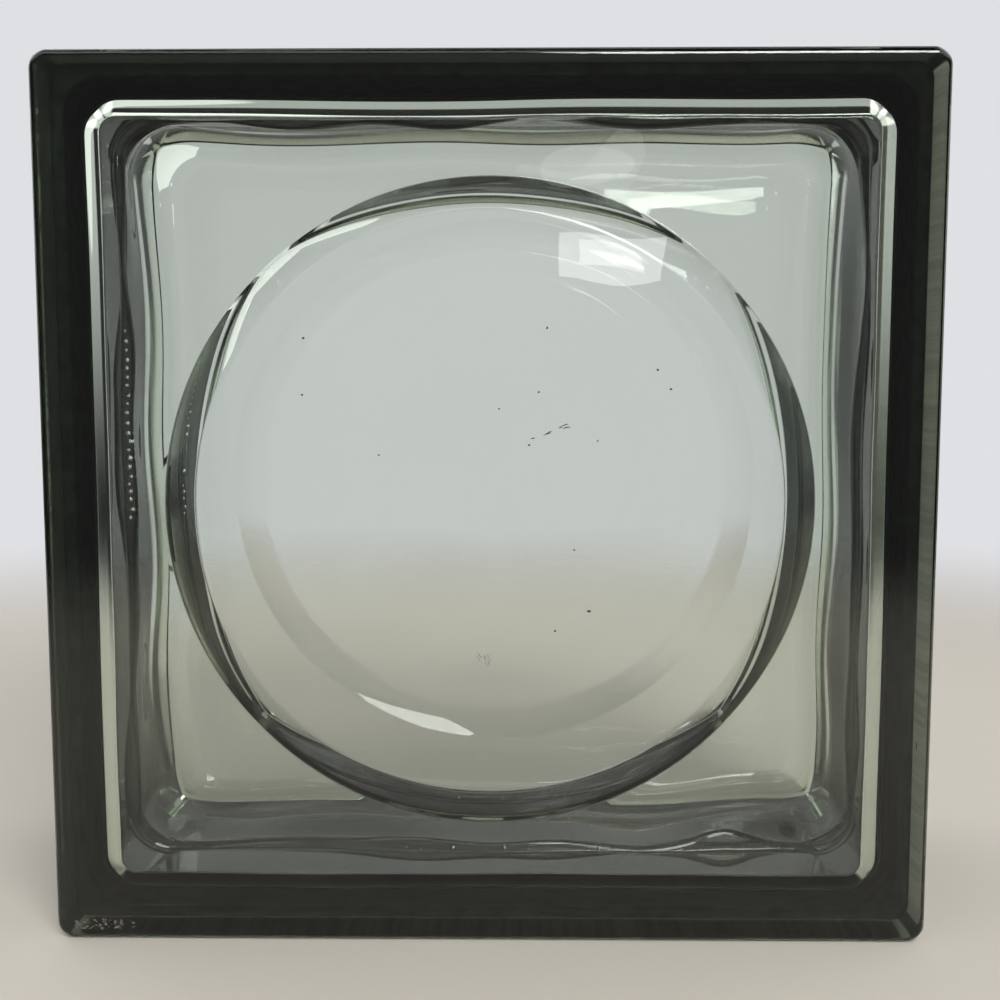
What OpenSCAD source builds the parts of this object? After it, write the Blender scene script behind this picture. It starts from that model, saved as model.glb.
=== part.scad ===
// Hollow glass block with a round recess pressed into the inside of both faces.
// Two pressed half shells are fused into one piece along the seam at mid-depth.
// The block stands on its edge: X is across it, Y through it and Z up.
// The origin is at the middle of the underside.

/* [Block] */
// Width and height of the block
side = 190; // [170:1:300]
// Thickness of the block from face to face
depth = 80; // [70:1:120]

/* [Faces] */
// Thickness of the glass of a face outside the round recess
face_t = 9; // [7:0.5:12]
// Rounding of the edge round a face
face_edge_r = 2; // [0.5:0.25:3]
// Corner radius of a face, seen from the front
face_corner_r = 4; // [3.5:0.5:12]

/* [Mortar channel] */
// Width of the lip that each face forms along the sides
lip_w = 20; // [8:0.5:24]
// Rounding of the lip's back edge
lip_back_r = 1.5; // [0.5:0.25:2]
// Depth of the channel between the two lips
channel_d = 2.7; // [2.5:0.1:5]
// Rounding of the inside corners of the channel
channel_inside_r = 0.6; // [0.2:0.1:2]
// Corner radius of the channel's floor, seen from the front
channel_corner_r = 8; // [4:0.5:16]

/* [Cavity] */
// Thickness of the side walls at the seam
wall_t = 4; // [3.5:0.25:8]
// Draft of the cavity's walls from the seam to the face, in degrees
wall_draft = 0.5; // [0.25:0.25:4]
// Radius of the cove between a wall and a face inside the cavity
cove_r = 13; // [8:0.5:15]
// Width of the cove, from the wall at the seam to the edge where the cove meets the flat face
cove_w = 6.3; // [4:0.1:9]
// Corner radius of the flat part of a face inside the cavity
cavity_corner_r = 3; // [0.5:0.25:8]

/* [Round recess] */
// Diameter of the recess at its mouth
recess_mouth_d = 140.5; // [80:0.5:150]
// Depth of the recess below the inside of the face
recess_depth = 3.2; // [2:0.1:4]
// Slope of the recess's hollow side at the mouth, in degrees
recess_mouth_slope = 30.5; // [26:0.5:36]
// Slope of the recess's hollow side at the foot, in degrees
recess_foot_slope = 18.5; // [12:0.5:22]
// Rounding of the edge at the mouth
recess_mouth_r = 1; // [0.5:0.25:2]
// Fillet between the side and the floor of the recess
recess_floor_r = 3.8; // [1:0.2:6]

/* [Fused seam] */
// Radius of the bead where the halves melted together
seam_r = 2.25; // [1.5:0.25:2.5]
// Height of the bead inside the cavity
seam_inside_h = 1.4; // [0.5:0.1:1.5]
// Height of the bead in the channel
seam_outside_h = 0.8; // [0.4:0.1:1.2]

/* [Hidden] */
$fn = 96;
glass_green = [0.55, 0.66, 0.62, 0.45];

half_side = side / 2;
half_depth = depth / 2;
lip_back = half_depth - lip_w;
cavity_top = half_depth - face_t;
channel_half = half_side - channel_d;
channel_r = min(channel_inside_r, channel_d - lip_back_r);

// The cove is tangent to the wall and stops at the flat face, at most where it would be tangent to that too.
cavity_half = channel_half - wall_t;
cove_limit = (cove_r * (1 - sin(wall_draft)) + cavity_top * sin(wall_draft)) / cos(wall_draft);
cove_run = min(cove_w, cove_limit);
cove_end = wall_draft + acos(1 - (cove_run * cos(wall_draft) - cavity_top * sin(wall_draft)) / cove_r);
flat_half = cavity_half - cove_run;
cavity_seam_r = cove_run + cavity_corner_r;

// The recess stays on the flat inside of the face. The radius of its hollow side follows from its depth.
mouth_half = min(recess_mouth_d / 2, flat_half - 1);
mouth_rise = recess_mouth_r * (1 - cos(recess_mouth_slope));
foot_rise = recess_floor_r * (1 - cos(recess_foot_slope));
side_rise = recess_depth - mouth_rise - foot_rise;
side_r = side_rise / (cos(recess_foot_slope) - cos(recess_mouth_slope));

glass_block();

// The whole block, stood on its edge with its first face to the front.
module glass_block() {
    color(glass_green)
        translate([0, 0, half_side])
            rotate([90, 0, 0])
                union() {
                    difference() {
                        both_halves() outer_half();
                        both_halves() cavity_half_shape();
                        both_halves() recess();
                    }
                    seam_bead(cavity_half + seam_r - seam_inside_h, cavity_seam_r + seam_r - seam_inside_h);
                    seam_bead(channel_half - seam_r + seam_outside_h, channel_corner_r - seam_r + seam_outside_h);
                }
}

// A half and its mirror image across the seam.
module both_halves() {
    children();
    mirror([0, 0, 1]) children();
}

// Outside of one half: the face with its lip, and the channel floor down to the seam.
module outer_half() {
    slab(half_side - face_corner_r, lip_back, half_depth) lip_section();
    slab(channel_half - channel_corner_r, 0, lip_back) channel_section();
}

// Air inside one half, up to the flat inside of the face.
module cavity_half_shape() {
    slab(cavity_half - cavity_seam_r, 0, cavity_top) cavity_section();
}

// A square body with round corners between two heights. The section is drawn outwards from the
// corner's axis, runs straight along the sides and turns round the corners.
module slab(axis, low, high) {
    translate([-axis, -axis, low]) cube([2 * axis, 2 * axis, high - low]);
    for (turn = [0 : 90 : 270])
        rotate(turn) {
            translate([axis, 0, 0])
                rotate([90, 0, 0])
                    linear_extrude(2 * axis, center = true) children();
            translate([axis, axis, 0])
                rotate_extrude(angle = 90) children();
        }
}

// Lip of a face, rounded at its face edge and at its back edge.
module lip_section() {
    face_in = face_corner_r - face_edge_r;
    back_in = face_corner_r - lip_back_r;
    translate([0, lip_back]) square([back_in, lip_back_r]);
    translate([0, lip_back + lip_back_r]) square([face_corner_r, lip_w - lip_back_r - face_edge_r]);
    translate([0, half_depth - face_edge_r]) square([face_in, face_edge_r]);
    translate([face_in, half_depth - face_edge_r]) quarter_disc(face_edge_r);
    translate([back_in, lip_back + lip_back_r]) mirror([0, 1]) quarter_disc(lip_back_r);
}

// Floor of the mortar channel, rounded where it meets the lip.
module channel_section() {
    square([channel_corner_r, lip_back]);
    translate([channel_corner_r, lip_back - channel_r])
        difference() {
            square(channel_r);
            translate([channel_r, 0]) circle(channel_r);
        }
}

// Drafted wall of the cavity, with the cove that leads to the edge of the flat face.
module cavity_section() {
    on_edge = [cavity_corner_r, cavity_top];
    centre = on_edge - cove_r * [cos(cove_end), sin(cove_end)];
    on_wall = centre + cove_r * [cos(wall_draft), sin(wall_draft)];
    half_turn = (cove_end - wall_draft) / 2;
    corner = centre + cove_r / cos(half_turn) * [cos(wall_draft + half_turn), sin(wall_draft + half_turn)];
    polygon([[0, 0], [cavity_seam_r, 0], on_wall, on_edge, [0, cavity_top]]);
    intersection() {
        translate(centre) circle(cove_r);
        polygon([on_wall, corner, on_edge]);
    }
}

// Round recess in the inside of a face: rounded mouth, hollow side, fillet and flat floor.
module recess() {
    floor_h = cavity_top + recess_depth;
    mouth = [mouth_half, cavity_top];
    mouth_centre = mouth + [0, recess_mouth_r];
    side_top = mouth_centre - recess_mouth_r * lean(recess_mouth_slope);
    side_centre = side_top - side_r * lean(recess_mouth_slope);
    side_foot = side_centre + side_r * lean(recess_foot_slope);
    floor_centre = side_foot - recess_floor_r * lean(recess_foot_slope);
    floor_end = [floor_centre[0], floor_h];
    half_turn = (recess_mouth_slope - recess_foot_slope) / 2;
    mouth_corner = mouth_centre - recess_mouth_r / cos(recess_mouth_slope / 2) * lean(recess_mouth_slope / 2);
    side_corner = side_centre + side_r / cos(half_turn) * lean(recess_foot_slope + half_turn);
    floor_corner = floor_centre + recess_floor_r / cos(recess_foot_slope / 2) * lean(recess_foot_slope / 2);
    rotate_extrude() {
        polygon([[0, cavity_top], mouth_corner, side_top, side_foot, floor_end, [0, floor_h]]);
        difference() {
            polygon([mouth_corner, mouth, side_top]);
            translate(mouth_centre) circle(recess_mouth_r);
        }
        intersection() {
            polygon([side_top, side_corner, side_foot]);
            translate(side_centre) circle(side_r);
        }
        intersection() {
            polygon([side_foot, floor_corner, floor_end]);
            translate(floor_centre) circle(recess_floor_r);
        }
    }
}

// Bead of melted glass that follows the seam all the way round.
module seam_bead(half, corner_r) {
    axis = half - corner_r;
    for (turn = [0 : 90 : 270])
        rotate(turn) {
            translate([half, 0, 0])
                rotate([90, 0, 0])
                    cylinder(r = seam_r, h = 2 * axis, center = true);
            translate([axis, axis, 0])
                rotate_extrude(angle = 90)
                    translate([corner_r, 0]) circle(seam_r);
        }
}

// A quarter of a disc in the first quadrant.
module quarter_disc(r) {
    intersection() {
        circle(r);
        square(r);
    }
}

// Unit vector that leans outwards from straight up by an angle.
function lean(angle) = [sin(angle), cos(angle)];
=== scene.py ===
import math

import bpy
import numpy as np
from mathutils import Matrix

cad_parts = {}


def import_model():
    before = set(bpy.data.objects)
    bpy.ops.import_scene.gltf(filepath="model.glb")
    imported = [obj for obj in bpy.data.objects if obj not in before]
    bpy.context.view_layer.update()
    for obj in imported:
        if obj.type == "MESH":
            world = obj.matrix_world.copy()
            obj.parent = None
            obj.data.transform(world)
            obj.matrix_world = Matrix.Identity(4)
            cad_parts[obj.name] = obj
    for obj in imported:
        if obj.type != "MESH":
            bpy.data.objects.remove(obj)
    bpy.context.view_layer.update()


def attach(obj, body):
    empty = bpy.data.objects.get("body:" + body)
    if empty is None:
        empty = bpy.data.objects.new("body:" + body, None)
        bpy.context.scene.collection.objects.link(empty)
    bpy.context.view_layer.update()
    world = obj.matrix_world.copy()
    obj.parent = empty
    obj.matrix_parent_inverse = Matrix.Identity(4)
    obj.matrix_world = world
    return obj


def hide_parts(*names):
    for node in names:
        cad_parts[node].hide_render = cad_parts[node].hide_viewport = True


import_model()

# Section of the block in millimetres, as in the part's source
MM = 0.001
HALF = 95.0
HALF_DEPTH = 40.0
FACE_T = 9.0
EDGE_R = 2.0
FACE_CORNER = 4.0
LIP_W = 20.0
LIP_BACK_R = 1.5
CHANNEL_D = 2.7
CHANNEL_R = 0.6
CHANNEL_CORNER = 8.0
WALL_T = 4.0
DRAFT = math.radians(0.5)
COVE_R = 13.0
COVE_W = 6.3
FLAT_CORNER = 3.0
MOUTH_R = 70.25
RECESS = 3.2
STEEP = math.radians(30.5)
SHALLOW = math.radians(18.5)
MOUTH_ROUND = 1.0
FLOOR_R = 3.8
SEAM_R = 2.25
SEAM_IN = 1.4
SEAM_OUT = 0.8

CAVITY_TOP = HALF_DEPTH - FACE_T
CAVITY_HALF = HALF - CHANNEL_D - WALL_T
FLAT_HALF = CAVITY_HALF - COVE_W

# Points along a side and round a corner of each contour
SIDE_N = 66
TURN_N = 12
N = 4 * (SIDE_N + TURN_N)

# Rows of points over a face, as shares of its half width, and strips along the lip, the channel and the wall
FACE_SHARES = (0.1, 0.2, 0.3, 0.4, 0.5, 0.6, 0.7, 0.8, 0.88, 0.94, 0.98, 0.997)
FLAT_SHARES = (0.02, 0.06, 0.25, 0.5, 0.75, 0.95)
DISC_SHARES = (0.993, 0.9, 0.8, 0.7, 0.6, 0.5, 0.4, 0.3, 0.2, 0.1)
LIP_STEPS = 6
CHANNEL_STEPS = 8
WALL_STEPS = 11

# Unevenness of the pressed glass in millimetres. The back half is rounder at its corners.
FACE_RIPPLE = 0.03
FACE_FADE = 12.0
RIPPLE_CREST = 1.6
INSIDE_RIPPLE = 0.05
BACK_CORNER = 6.0
SWELL_CORNER = 84
# Corner, height and width of each swell in the back wall
CORNER_SWELLS = (((1, 1), 0.8, 15), ((-1, 1), 1.2, 15), ((-1, -1), -1.8, 18), ((1, -1), -1.5, 18))

# Seeds of the random shapes
FACE_SEED, FRONT_SEED, BACK_SEED = 31, 21, 22
BEAD_SEED, DRIFT_SEED, FRONT_WALL_SEED, BACK_WALL_SEED = 11, 12, 13, 14
BUBBLE_SEED, DIRT_SEED = 5, 8

# Roughness of the lips' outer sides, and the share of them that a pale film covers. The film is partly dirt
# and partly painted light: its share differs by side to make the strips on the right and below lighter
LIP_ROUGH = 0.08
FILM_BY_FACE, FILM_BY_CHANNEL = 0.085, 0.017
FILM_AND_PAINTED_LIGHT_RIGHT, FILM_AND_PAINTED_LIGHT_BELOW, FILM_AND_PAINTED_LIGHT_ABOVE = 0.29, 0.5, 0.026

# Materials of the block
IOR = 1.52
GLASS, CHANNEL = 0, 1

# Studio, in metres and degrees
STAGE_R = 1.0
FADE_FROM, FADE_TO = 0.3, 0.75
LAMP_TARGET = (0, 0, 0.1)
CAMERA_AT = (0.0053, -0.2885, 0.1198)
CAMERA_DOWN, CAMERA_TURN = 5.26, 0.67


def contour(half, corner):
    """Square with round corners, counter-clockwise seen from the front, from the right side up."""
    axis = half - corner
    run = [(half, -axis + 2 * axis * k / SIDE_N) for k in range(SIDE_N)]
    for k in range(TURN_N):
        a = 0.5 * math.pi * k / TURN_N
        run.append((axis + corner * math.cos(a), axis + corner * math.sin(a)))
    points = []
    for c, s in ((1, 0), (0, 1), (-1, 0), (0, -1)):
        points += [(c * x - s * y, s * x + c * y) for x, y in run]
    return np.array(points)


def outward():
    """Unit vectors that point out of the contour."""
    away = []
    for quarter in range(4):
        for k in range(SIDE_N + TURN_N):
            a = 0.5 * math.pi * (quarter + max(0, k - SIDE_N) / TURN_N)
            away.append((math.cos(a), math.sin(a)))
    return np.array(away)


def arc(centre, radius, start, end, steps):
    """Points of an arc between two angles in degrees."""
    angles = np.radians(np.linspace(start, end, steps + 1))
    return [(centre[0] + radius * math.cos(a), centre[1] + radius * math.sin(a)) for a in angles]


def waves(seed, slow, fast, travel):
    """Smooth seeded wave of about unit height along a closed path, travel from 0 to 1."""
    rng = np.random.RandomState(seed)
    total = np.zeros_like(travel)
    for turns in range(slow, fast + 1):
        total += rng.uniform(0.4, 1.0) * np.sin(2 * math.pi * (turns * travel + rng.uniform()))
    return total / math.sqrt(0.27 * (fast - slow + 1))


def ripple(seed, xy):
    """Shallow seeded swell of about unit height over a face."""
    rng = np.random.RandomState(seed)
    total = np.zeros(len(xy))
    for _ in range(7):
        a = rng.uniform(0, 2 * math.pi)
        length = rng.uniform(26, 60)
        along = xy[:, 0] * math.cos(a) + xy[:, 1] * math.sin(a)
        total += np.sin(2 * math.pi * (along / length + rng.uniform()))
    return total / math.sqrt(3.5)


def bell(value, middle, width):
    return np.exp(-((value - middle) / width) ** 2)


def outer_section():
    """Half width, corner radius and depth of the outside, from the face to the seam.

    Also gives the number of the strip where the clear glass ends, just round the back edge of the lip.
    """
    flat = HALF - EDGE_R
    rows = [(flat * share, (FACE_CORNER - EDGE_R) * share, HALF_DEPTH) for share in FACE_SHARES]
    for x, w in arc((flat, HALF_DEPTH - EDGE_R), EDGE_R, 90, 0, 10):
        rows.append((x, FACE_CORNER - (HALF - x), w))
    back = HALF_DEPTH - LIP_W
    low, high = back + LIP_BACK_R, HALF_DEPTH - EDGE_R
    for k in range(1, LIP_STEPS):
        rows.append((HALF, FACE_CORNER, high + (low - high) * k / LIP_STEPS))
    lip_to = len(rows) + 2
    for x, w in arc((HALF - LIP_BACK_R, low), LIP_BACK_R, 0, -88, 8):
        rows.append((x, FACE_CORNER - (HALF - x), w))
    floor_at = HALF - CHANNEL_D
    lip_corner = FACE_CORNER - LIP_BACK_R
    for x, w in arc((floor_at + CHANNEL_R, back - CHANNEL_R), CHANNEL_R, 92, 180, 6):
        share = (floor_at + CHANNEL_R - x) / CHANNEL_R
        rows.append((x, lip_corner + (CHANNEL_CORNER - lip_corner) * share, w))
    bead_mid = floor_at + SEAM_OUT - SEAM_R
    foot = math.sqrt(SEAM_R ** 2 - (floor_at - bead_mid) ** 2)
    run = back - CHANNEL_R - foot
    for k in range(1, CHANNEL_STEPS):
        rows.append((floor_at, CHANNEL_CORNER, back - CHANNEL_R - run * k / CHANNEL_STEPS))
    top = math.degrees(math.asin(foot / SEAM_R))
    for x, w in arc((bead_mid, 0), SEAM_R, top, 0, 6):
        rows.append((x, CHANNEL_CORNER + x - floor_at, w))
    return rows, lip_to


def inner_section(corner):
    """The same for the cavity: bead, wall and cove, from the seam to the edge of the flat face."""
    lean = COVE_W * math.cos(DRAFT) - CAVITY_TOP * math.sin(DRAFT)
    end = DRAFT + math.acos(1 - lean / COVE_R)
    centre = (FLAT_HALF - COVE_R * math.cos(end), CAVITY_TOP - COVE_R * math.sin(end))
    bead_mid = CAVITY_HALF + SEAM_R - SEAM_IN
    foot = math.sqrt(SEAM_R ** 2 - (bead_mid - CAVITY_HALF) ** 2)
    top = math.degrees(math.asin(foot / SEAM_R))
    points = arc((bead_mid, 0), SEAM_R, 180, 180 - top, 7)
    on_wall = centre[1] + COVE_R * math.sin(DRAFT)
    for k in range(1, WALL_STEPS):
        w = foot + (on_wall - foot) * k / WALL_STEPS
        points.append((CAVITY_HALF - w * math.tan(DRAFT), w))
    points += arc(centre, COVE_R, math.degrees(DRAFT), math.degrees(end), 18)
    axis = FLAT_HALF - corner
    return [(x, x - axis, w) for x, w in points]


def recess_profile():
    """Radius and depth of the round recess, from its mouth to its floor."""
    rise = RECESS - MOUTH_ROUND * (1 - math.cos(STEEP)) - FLOOR_R * (1 - math.cos(SHALLOW))
    side_r = rise / (math.cos(SHALLOW) - math.cos(STEEP))
    r, w = MOUTH_R, CAVITY_TOP
    rows = []
    for turn_r, start, end, steps in ((-MOUTH_ROUND, 0, STEEP, 5), (side_r, STEEP, SHALLOW, 10),
                                      (FLOOR_R, SHALLOW, 0, 8)):
        for a in np.linspace(start, end, steps + 1):
            run = turn_r * (math.sin(start) - math.sin(a))
            lift = turn_r * (math.cos(a) - math.cos(start))
            rows.append((r - run, w + lift))
        r, w = rows.pop()
    return rows + [(r, w)]


def mirrored(rings):
    """Copies of the rings on the other side of the seam."""
    return [ring * (1, 1, -1) for ring in rings]


def loft(rings, first_tip, last_tip, flip):
    """Closed skin over a row of rings with a tip at each end."""
    n = len(rings[0])
    verts = [first_tip] + [tuple(p) for ring in rings for p in ring] + [last_tip]
    faces = []
    for k in range(n):
        faces.append((0, 1 + (k + 1) % n, 1 + k))
    for r in range(len(rings) - 1):
        a, b = 1 + r * n, 1 + (r + 1) * n
        for k in range(n):
            j = (k + 1) % n
            faces.append((a + k, a + j, b + j, b + k))
    a, last = 1 + (len(rings) - 1) * n, len(verts) - 1
    for k in range(n):
        faces.append((a + k, a + (k + 1) % n, last))
    if flip:
        faces = [f[::-1] for f in faces]
    return verts, faces


def outer_skin():
    """Outside of the block: clear faces and lips, and the coated channel between the lips."""
    rows, lip_to = outer_section()
    half = [np.column_stack([contour(h, r), np.full(N, w)]) for h, r, w in rows]
    rings = half + mirrored(half[:-1][::-1])
    for ring in rings:
        if abs(ring[0, 2]) > HALF_DEPTH - 1e-6:
            fade = min(1.0, max(0.0, (HALF - EDGE_R - abs(ring[0, 0])) / FACE_FADE))
            dip = ripple(FACE_SEED, ring[:, :2]) - RIPPLE_CREST
            ring[:, 2] *= 1 + FACE_RIPPLE * fade * dip / HALF_DEPTH
    tip = HALF_DEPTH + FACE_RIPPLE * (ripple(FACE_SEED, np.zeros((1, 2)))[0] - RIPPLE_CREST)
    verts, faces = loft(rings, (0, 0, tip), (0, 0, -tip), True)
    last = len(rings) - 1
    finish = []
    for strip in range(-1, last + 1):
        near = min(strip, last - 1 - strip)
        finish += [GLASS if near < lip_to else CHANNEL] * N
    return verts, faces, finish


def bead_height(wall, away, travel):
    """Height of the bead inside the cavity, 1 where it is even. It is thicker at the left and below."""
    right, up = wall.T
    on_left, on_floor = away[:, 0] < -0.9, away[:, 1] < -0.9
    height = 1.0 + 0.35 * waves(BEAD_SEED, 5, 22, travel)
    height += np.where(on_left, 0.7 * bell(up, 15, 30), 0)
    height += np.where(on_floor, 1.7 * bell(right, 58, 7) + 0.8 * bell(right, -10, 60), 0)
    return height


def wall_swell(side, wall, away, travel):
    """How far the walls stand out at a face, in millimetres. Those of the back half stand in deep waves."""
    if side > 0:
        return 0.10 * waves(FRONT_WALL_SEED, 4, 12, travel)
    swell = 0.55 * waves(BACK_WALL_SEED, 5, 13, travel) - 0.9 * away[:, 0] + 0.8 * away[:, 1]
    swell += np.maximum(away[:, 1], 0)
    for corner, height, width in CORNER_SWELLS:
        gap = np.hypot(wall[:, 0] - SWELL_CORNER * corner[0], wall[:, 1] - SWELL_CORNER * corner[1])
        swell += height * bell(gap, 0, width)
    return swell


def face_rings(side, corner, shift):
    """Rings over the flat inside of a face and down its recess, and the tip at the middle of the recess."""
    outline = contour(FLAT_HALF, corner)
    angles = 2 * math.pi * (np.arange(N) - SIDE_N / 2) / N
    circle = np.column_stack([np.cos(angles), np.sin(angles)])
    plane = []
    for share in FLAT_SHARES:
        held = shift * (1 - share) ** 2
        plane.append((outline * (1 - share) + circle * MOUTH_R * share + held, CAVITY_TOP))
    profile = recess_profile()
    plane += [(circle * radius, w) for radius, w in profile]
    disc_r, tip = profile[-1]
    plane += [(circle * disc_r * share, tip) for share in DISC_SHARES]
    seed = FRONT_SEED if side > 0 else BACK_SEED
    rings = []
    for xy, w in plane:
        rings.append(np.column_stack([xy, side * (w + INSIDE_RIPPLE * ripple(seed, xy))]))
    tip += INSIDE_RIPPLE * ripple(seed, np.zeros((1, 2)))[0]
    return rings, (0, 0, side * tip)


def half_cavity(side):
    """Rings of one half of the cavity, from the seam to the recess. Side is 1 in front and -1 behind.

    The halves were pressed and fused hot, so the seam runs uneven and the walls stand in waves.
    """
    travel = np.arange(N) / N
    away = outward()
    corner_r = FLAT_CORNER if side > 0 else BACK_CORNER
    wall = contour(CAVITY_HALF, COVE_W + corner_r)
    bead = bead_height(wall, away, travel)
    drift = 1.3 * waves(DRIFT_SEED, 3, 12, travel)
    swell = wall_swell(side, wall, away, travel)
    rings = []
    for x, corner, w in inner_section(corner_r):
        near_seam = max(0.0, 1 - w / 6.0)
        press = min(1.0, max(0.0, (w - 4) / 14.0))
        push = swell * press * press * (3 - 2 * press)
        if w < SEAM_R:
            push = push - (bead - 1) * max(0.0, CAVITY_HALF - x)
        ring = contour(x, corner) + away * push[:, None]
        rings.append(np.column_stack([ring, side * w + drift * near_seam]))
    face, tip = face_rings(side, corner_r, away * swell[:, None])
    return rings + face, tip


def inner_skin():
    """Inside of the cavity, with its skin facing the air."""
    front, front_tip = half_cavity(1)
    back, back_tip = half_cavity(-1)
    verts, faces = loft(front[::-1] + back[1:], front_tip, back_tip, False)
    return verts, faces, [GLASS] * len(faces)


def bubble(centre, radius, stretch):
    """Small round air bubble in the glass, with its skin facing the air."""
    rows, turns = 7, 12
    rings = []
    for r in range(1, rows):
        a = math.pi * r / rows
        ring = [(centre[0] + radius * math.sin(a) * math.cos(2 * math.pi * k / turns),
                 centre[1] + radius * stretch * math.sin(a) * math.sin(2 * math.pi * k / turns),
                 centre[2] + radius * math.cos(a)) for k in range(turns)]
        rings.append(np.array(ring))
    top = (centre[0], centre[1], centre[2] + radius)
    low = (centre[0], centre[1], centre[2] - radius)
    verts, faces = loft(rings, top, low, False)
    return verts, faces, [GLASS] * len(faces)


def bubbles():
    """A row of bubbles up the seam on the left, and a few in the seam below."""
    rng = np.random.RandomState(BUBBLE_SEED)
    made = []
    up, row_end = 39.0, -8
    while up > row_end:
        centre = (-88.2 + rng.uniform(-0.2, 0.2), up, rng.uniform(-0.5, 0.5))
        made.append(bubble(centre, rng.uniform(0.45, 0.7), 1.2))
        up -= rng.uniform(1.7, 2.5)
    for x in (-21, -17.4, -9.5, 3, 9, 47, 51.5, 55, 58.5, 62, 65.5, 71):
        made.append(bubble((x, -88.6, rng.uniform(-1, 1)), rng.uniform(0.4, 0.6), 1.0))
    return made


def upright(verts):
    """From the lying section frame, in millimetres, to the standing block, in metres."""
    v = np.array(verts, float)
    return np.column_stack([v[:, 0], -v[:, 2], v[:, 1] + HALF]) * MM


def join(skins):
    """Several skins as one, stood upright."""
    verts, faces, base = [], [], 0
    for skin_verts, skin_faces in skins:
        verts.append(upright(skin_verts))
        faces += [tuple(i + base for i in face) for face in skin_faces]
        base += len(skin_verts)
    return np.vstack(verts), faces


def add_object(name, data):
    obj = bpy.data.objects.new(name, data)
    bpy.context.scene.collection.objects.link(obj)
    return obj


def skin_mesh(name, verts, faces, materials):
    """Smooth mesh with its materials."""
    mesh = bpy.data.meshes.new(name)
    mesh.from_pydata(verts.tolist(), [], faces)
    mesh.shade_smooth()
    for mat in materials:
        mesh.materials.append(mat)
    return mesh


def new_material(name):
    mat = bpy.data.materials.new(name)
    mat.use_nodes = True
    return mat, mat.node_tree


def node(tree, kind, **values):
    made = tree.nodes.new(kind)
    for key, value in values.items():
        setattr(made, key, value)
    return made


def stretched_noise(tree, scale, stretch, detail):
    """Noise in the block's own coordinates, drawn out along one axis or more."""
    coord = node(tree, "ShaderNodeTexCoord")
    place = node(tree, "ShaderNodeMapping")
    place.inputs["Scale"].default_value = stretch
    noise = node(tree, "ShaderNodeTexNoise")
    noise.inputs["Scale"].default_value = scale
    noise.inputs["Detail"].default_value = detail
    tree.links.new(coord.outputs["Object"], place.inputs["Vector"])
    tree.links.new(place.outputs["Vector"], noise.inputs["Vector"])
    return noise.outputs["Fac"]


def ramp(tree, value, stops):
    """Colour from a row of positions and colours."""
    made = node(tree, "ShaderNodeValToRGB")
    elements = made.color_ramp.elements
    for element, (position, colour) in zip(elements, stops):
        element.position = position
        element.color = (*colour, 1)
    tree.links.new(value, made.inputs["Fac"])
    return made.outputs["Color"]


def smooth(tree, value, low, high):
    """Soft step from 0 to 1."""
    made = node(tree, "ShaderNodeMapRange", interpolation_type="SMOOTHSTEP")
    made.inputs["From Min"].default_value = low
    made.inputs["From Max"].default_value = high
    tree.links.new(value, made.inputs["Value"])
    return made.outputs["Result"]


def combine(tree, operation, first, second):
    """Result of a sum on two outputs of nodes."""
    made = node(tree, "ShaderNodeMath", operation=operation)
    tree.links.new(first, made.inputs[0])
    tree.links.new(second, made.inputs[1])
    return made.outputs["Value"]


def blend(tree, factor, low, high):
    """Value between two numbers."""
    made = node(tree, "ShaderNodeMix", data_type="FLOAT")
    tree.links.new(factor, made.inputs[0])
    made.inputs[2].default_value = low
    made.inputs[3].default_value = high
    return made.outputs[0]


def mix_shaders(tree, first, second):
    """Mix of two shaders. Its factor is still to be set."""
    made = node(tree, "ShaderNodeMixShader")
    tree.links.new(first, made.inputs[1])
    tree.links.new(second, made.inputs[2])
    return made


def glass_material():
    """Clear green glass. The lips' outer sides have fine marks along the depth and a thin pale film, partly
    dirt and partly painted light.
    """
    mat, tree = new_material("pressed_glass")
    tree.nodes.clear()
    out = node(tree, "ShaderNodeOutputMaterial")
    bsdf = node(tree, "ShaderNodeBsdfPrincipled", name="glass")
    bsdf.inputs["Base Color"].default_value = (1, 1, 1, 1)
    bsdf.inputs["IOR"].default_value = IOR
    bsdf.inputs["Transmission Weight"].default_value = 1.0
    volume = node(tree, "ShaderNodeVolumeAbsorption")
    volume.inputs["Color"].default_value = (0.44, 0.55, 0.39, 1)
    volume.inputs["Density"].default_value = 40.0
    tree.links.new(volume.outputs["Volume"], out.inputs["Volume"])
    rough = node(tree, "ShaderNodeAttribute", attribute_name="lip_rough")
    tree.links.new(rough.outputs["Fac"], bsdf.inputs["Roughness"])
    grain = stretched_noise(tree, 700.0, (1.0, 0.02, 1.0), 2.0)
    marks = ramp(tree, grain, ((0.3, (0.56, 0.57, 0.48)), (0.7, (0.80, 0.82, 0.70))))
    through = node(tree, "ShaderNodeBsdfTranslucent")
    film = node(tree, "ShaderNodeBsdfDiffuse")
    tree.links.new(marks, through.inputs["Color"])
    tree.links.new(marks, film.inputs["Color"])
    film_shader = mix_shaders(tree, through.outputs["BSDF"], film.outputs["BSDF"])
    film_shader.inputs["Fac"].default_value = 0.4
    # Share of the pale film at each point: partly dirt, partly painted light that lightens the lips' strips
    # on the right and below
    share = node(tree, "ShaderNodeAttribute", attribute_name="lip_film_and_painted_light")
    whole = mix_shaders(tree, bsdf.outputs["BSDF"], film_shader.outputs["Shader"])
    tree.links.new(share.outputs["Fac"], whole.inputs["Fac"])
    tree.links.new(whole.outputs["Shader"], out.inputs["Surface"])
    return mat


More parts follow.
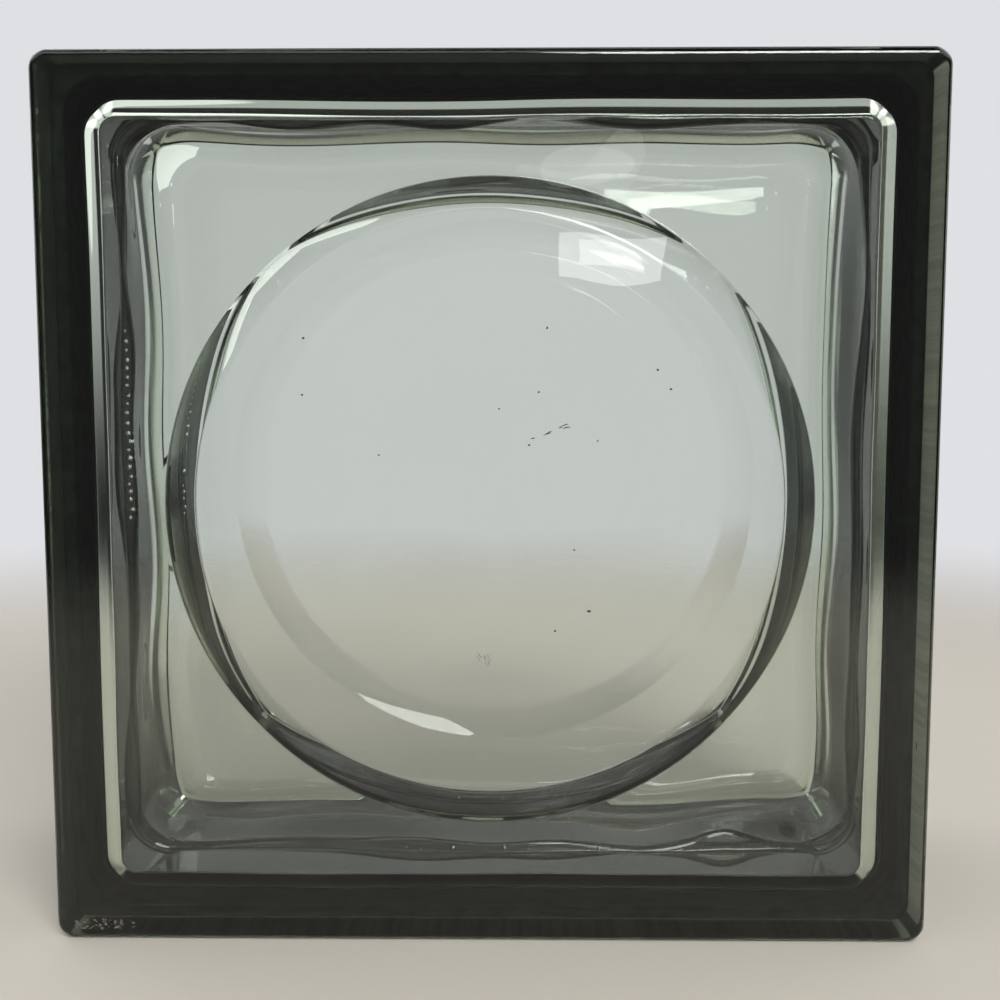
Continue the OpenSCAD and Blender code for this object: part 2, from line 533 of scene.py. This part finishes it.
def lip_finish(verts):
    """Roughness of the lips' outer sides and the share that a pale film covers, at each vertex.

    The film is partly dirt and partly painted light. It is thickest below and on the right, which paints
    those strips lighter, and thicker close to the front face. The back is clean.
    """
    x, y, z = verts[:, 0], verts[:, 1], verts[:, 2] - HALF * MM
    reach = (HALF - 0.4) * MM
    lip = np.maximum(np.abs(x), np.abs(z)) > reach
    film = np.where(y < -CAVITY_TOP * MM, FILM_BY_FACE, FILM_BY_CHANNEL)
    # Painted light: the film's share on each side sets how light that strip looks, most on the right and
    # below, least above
    film = np.where(x > reach, FILM_AND_PAINTED_LIGHT_RIGHT, film)
    film = np.where(z < -reach, FILM_AND_PAINTED_LIGHT_BELOW, film)
    film = np.where(z > reach, FILM_AND_PAINTED_LIGHT_ABOVE, film)
    return np.where(lip, LIP_ROUGH, 0.0), np.where(lip & (y < 0), film, 0.0)


def speckled_material(name, grain_scale, detail, colours, roughness):
    """Opaque finish between two colours."""
    mat, tree = new_material(name)
    bsdf = tree.nodes["Principled BSDF"]
    grain = stretched_noise(tree, grain_scale, (1.0, 1.0, 1.0), detail)
    colour = ramp(tree, grain, ((0.3, colours[0]), (0.7, colours[1])))
    tree.links.new(colour, bsdf.inputs["Base Color"])
    bsdf.inputs["Roughness"].default_value = roughness
    return mat


def coat_material():
    """Dark coat in the mortar channel, without a shine."""
    mat = speckled_material("edge_channel", 260.0, 5.0, ((0.018, 0.022, 0.018), (0.032, 0.039, 0.032)), 0.35)
    mat.node_tree.nodes["Principled BSDF"].inputs["Specular IOR Level"].default_value = 0.0
    return mat


def glass_block():
    """The block: its outside, its cavity and the bubbles as one piece."""
    parts = [outer_skin(), inner_skin()] + bubbles()
    verts, faces = join([part[:2] for part in parts])
    mesh = skin_mesh("glass_block_skin", verts, faces, (glass_material(), coat_material()))
    finish = [kind for part in parts for kind in part[2]]
    mesh.polygons.foreach_set("material_index", finish)
    for name, values in zip(("lip_rough", "lip_film_and_painted_light"), lip_finish(verts)):
        mesh.attributes.new(name, "FLOAT", "POINT").data.foreach_set("value", values)
    mesh.update()
    obj = add_object("glass_block_skin", mesh)
    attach(obj, "root")
    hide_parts("glass_block")


def speck(x, y, w, size, turn, flat):
    """Small lens-shaped crumb on the front face, closed, in the section frame. Turn is in degrees."""
    c, s = math.cos(math.radians(turn)), math.sin(math.radians(turn))
    rings = []
    for share, lift in ((0.55, 0.5), (1.0, 0.0), (0.55, -0.5)):
        ring = []
        for k in range(10):
            a = 2 * math.pi * k / 10
            along, across = size * share * math.cos(a), size * share * flat * math.sin(a)
            ring.append((x + c * along - s * across, y + s * along + c * across, w + 0.08 * lift))
        rings.append(np.array(ring))
    return loft(rings, (x, y, w + 0.06), (x, y, w - 0.06), True)


def crumbs(name, rows, colours, roughness):
    """One piece of many specks, with a speckled finish."""
    verts, faces = join([speck(*row) for row in rows])
    mat = speckled_material(name, 900.0, 3.0, colours, roughness)
    obj = add_object(name, skin_mesh(name, verts, faces, (mat,)))
    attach(obj, "root")


def dirt():
    """Dark specks, a scuff and a pale scratch on the front face, and small chips at its lower left edge."""
    w = HALF_DEPTH - 0.05
    # Across, up, depth, size, turn and flatness of each speck
    dark = [(-38.7, 35.8, w, 0.32, 20, 0.7), (-39.1, 24.0, w, 0.25, 0, 0.8), (-23.1, 11.4, w, 0.2, 0, 0.9),
            (2.2, 21.1, w, 0.22, 40, 0.7), (8.5, 13.5, w, 0.25, 0, 0.8), (12.2, 37.9, w, 0.3, 70, 0.6),
            (10.5, 24.6, w, 0.25, 30, 0.7), (18.1, -8.7, w, 0.22, 0, 0.8), (21.3, -21.8, w, 0.45, 0, 0.6),
            (14.1, -26.1, w, 0.25, 0, 0.8), (22.9, 14.4, w, 0.22, 60, 0.6), (35.3, 29.2, w, 0.28, 0, 0.8),
            (38.1, 25.2, w, 0.28, 10, 0.8), (91.6, -50.9, w, 0.9, 90, 0.16)]
    pale = []
    rng = np.random.RandomState(DIRT_SEED)
    for _ in range(13):
        t = rng.uniform(0, 1)
        up = 15.0 + 2.6 * t + rng.uniform(-0.5, 0.5)
        dark.append((8.9 + 8.2 * t, up, w, rng.uniform(0.2, 0.75), 17, 0.16))
    for _ in range(12):
        pale.append((rng.uniform(-2.3, 1.3), rng.uniform(-33.3, -30.7), w, rng.uniform(0.25, 0.8),
                     rng.uniform(50, 130), 0.13))
    for _ in range(70):
        pale.append((-90.5 + 13 * rng.uniform() ** 1.8, -91.2 + rng.uniform(-1.2, 0.8), w - 0.05,
                     rng.uniform(0.12, 0.42), rng.uniform(-30, 30), rng.uniform(0.3, 0.8)))
    crumbs("face_specks", dark, ((0.02, 0.018, 0.014), (0.07, 0.06, 0.045)), 0.7)
    crumbs("edge_chips", pale, ((0.16, 0.15, 0.11), (0.40, 0.39, 0.33)), 0.9)


def floor():
    """Round pale floor that fades out into the pale surroundings."""
    mesh = bpy.data.meshes.new("floor")
    n = 96
    angles = [2 * math.pi * k / n for k in range(n)]
    ring = [(STAGE_R * math.cos(a), STAGE_R * math.sin(a), 0) for a in angles]
    mesh.from_pydata(ring, [], [tuple(range(n))])
    mat, tree = new_material("floor_pale")
    bsdf = tree.nodes["Principled BSDF"]
    bsdf.inputs["Base Color"].default_value = (0.46, 0.43, 0.375, 1)
    bsdf.inputs["Roughness"].default_value = 0.8
    clear = node(tree, "ShaderNodeBsdfTransparent")
    coord = node(tree, "ShaderNodeTexCoord")
    length = node(tree, "ShaderNodeVectorMath", operation="LENGTH")
    tree.links.new(coord.outputs["Object"], length.inputs[0])
    mix = mix_shaders(tree, bsdf.outputs["BSDF"], clear.outputs["BSDF"])
    tree.links.new(smooth(tree, length.outputs["Value"], FADE_FROM, FADE_TO), mix.inputs["Fac"])
    tree.links.new(mix.outputs["Shader"], tree.nodes["Material Output"].inputs["Surface"])
    mesh.materials.append(mat)
    add_object("floor", mesh)


def world():
    """Pale studio that is dim in front and low at the sides.

    It is pale wherever the camera looks at it, directly or through both faces of the block.
    """
    pale, dark = (0.74, 0.745, 0.775), (0.012, 0.012, 0.012)
    ceiling_share, room_light, right_box, left_box = 0.85, 0.17, 1.6, 1.1
    scene_world = bpy.data.worlds.new("studio")
    bpy.context.scene.world = scene_world
    scene_world.use_nodes = True
    tree = scene_world.node_tree
    tree.nodes.clear()
    out = node(tree, "ShaderNodeOutputWorld")
    back = node(tree, "ShaderNodeBackground")
    coord = node(tree, "ShaderNodeTexCoord")
    split = node(tree, "ShaderNodeSeparateXYZ")
    tree.links.new(coord.outputs["Generated"], split.inputs[0])
    x, y, z = split.outputs
    # Pale above, below and far behind the block
    lean = node(tree, "ShaderNodeMath", operation="MULTIPLY_ADD")
    lean.inputs[1].default_value = -0.18
    tree.links.new(z, lean.inputs[0])
    tree.links.new(y, lean.inputs[2])
    behind = smooth(tree, lean.outputs["Value"], -0.06, 0.06)
    high, low = smooth(tree, z, -0.1, 0.16), smooth(tree, z, -0.1, -0.22)
    lit = combine(tree, "MULTIPLY", combine(tree, "MAXIMUM", high, low), behind)
    lit = combine(tree, "MAXIMUM", smooth(tree, y, 0.7, 0.92), lit)
    shade = node(tree, "ShaderNodeVectorMath", operation="SCALE")
    tree.links.new(ramp(tree, lit, ((0.0, dark), (1.0, pale))), shade.inputs[0])
    ceiling = blend(tree, smooth(tree, z, 0.3, 0.7), 1.0, ceiling_share)
    tree.links.new(ceiling, shade.inputs["Scale"])
    # Dim room behind the camera, and two soft boxes high at the sides, the right one the brighter
    room = blend(tree, smooth(tree, y, -0.7, -0.9), 0.0, room_light)
    above = smooth(tree, z, 0.4, 0.55)
    right = combine(tree, "MULTIPLY", above, smooth(tree, x, 0.4, 0.52))
    left = combine(tree, "MULTIPLY", above, smooth(tree, x, -0.4, -0.52))
    boxes = combine(tree, "ADD", blend(tree, right, 0.0, right_box), blend(tree, left, 0.0, left_box))
    whole = node(tree, "ShaderNodeVectorMath", operation="ADD")
    tree.links.new(shade.outputs["Vector"], whole.inputs[0])
    tree.links.new(combine(tree, "ADD", room, boxes), whole.inputs[1])
    # A ray through both faces has crossed four surfaces
    path = node(tree, "ShaderNodeLightPath")
    through = smooth(tree, path.outputs["Transmission Depth"], 3.4, 3.6)
    pick = node(tree, "ShaderNodeMix", data_type="RGBA")
    tree.links.new(combine(tree, "MAXIMUM", path.outputs["Is Camera Ray"], through), pick.inputs[0])
    tree.links.new(whole.outputs["Vector"], pick.inputs[6])
    pick.inputs[7].default_value = (*pale, 1)
    tree.links.new(pick.outputs[2], back.inputs["Color"])
    tree.links.new(back.outputs["Background"], out.inputs["Surface"])


def lamp(name, shape, place, size, energy):
    """Area lamp turned towards the middle of the block."""
    data = bpy.data.lights.new(name, "AREA")
    data.shape = shape
    data.size, data.size_y = size
    data.energy = energy
    obj = add_object(name, data)
    obj.location = place
    x, y, z = [t - p for t, p in zip(LAMP_TARGET, place)]
    tilt = math.atan2(z, math.hypot(x, y))
    obj.rotation_euler = (math.pi / 2 + tilt, 0, math.atan2(y, x) - math.pi / 2)


def camera():
    data = bpy.data.cameras.new("camera")
    data.sensor_width = 36.0
    data.lens = 42.6
    data.clip_start = 0.01
    obj = add_object("camera", data)
    obj.location = CAMERA_AT
    obj.rotation_euler = (math.radians(90 - CAMERA_DOWN), 0, math.radians(CAMERA_TURN))
    bpy.context.scene.camera = obj


glass_block()
dirt()
floor()
world()
lamp("fill", "RECTANGLE", (0.3, -0.8, 0.85), (0.5, 0.4), 11.5)
lamp("ceiling", "RECTANGLE", (-0.3, -0.6, 1.3), (0.9, 0.5), 2.5)
lamp("back_fill", "ELLIPSE", (-0.9, 0.6, 0.9), (1.5, 1.5), 3.6)
lamp("window_low", "RECTANGLE", (0.119, -1.2, 0.276), (0.105, 0.05), 0.075)
lamp("window_high", "ELLIPSE", (0.086, -1.2, 0.377), (0.12, 0.05), 0.02)
camera()
scene = bpy.context.scene
scene.view_settings.view_transform = "Standard"
scene.cycles.max_bounces = 16
scene.cycles.transmission_bounces = 16
scene.cycles.glossy_bounces = 8
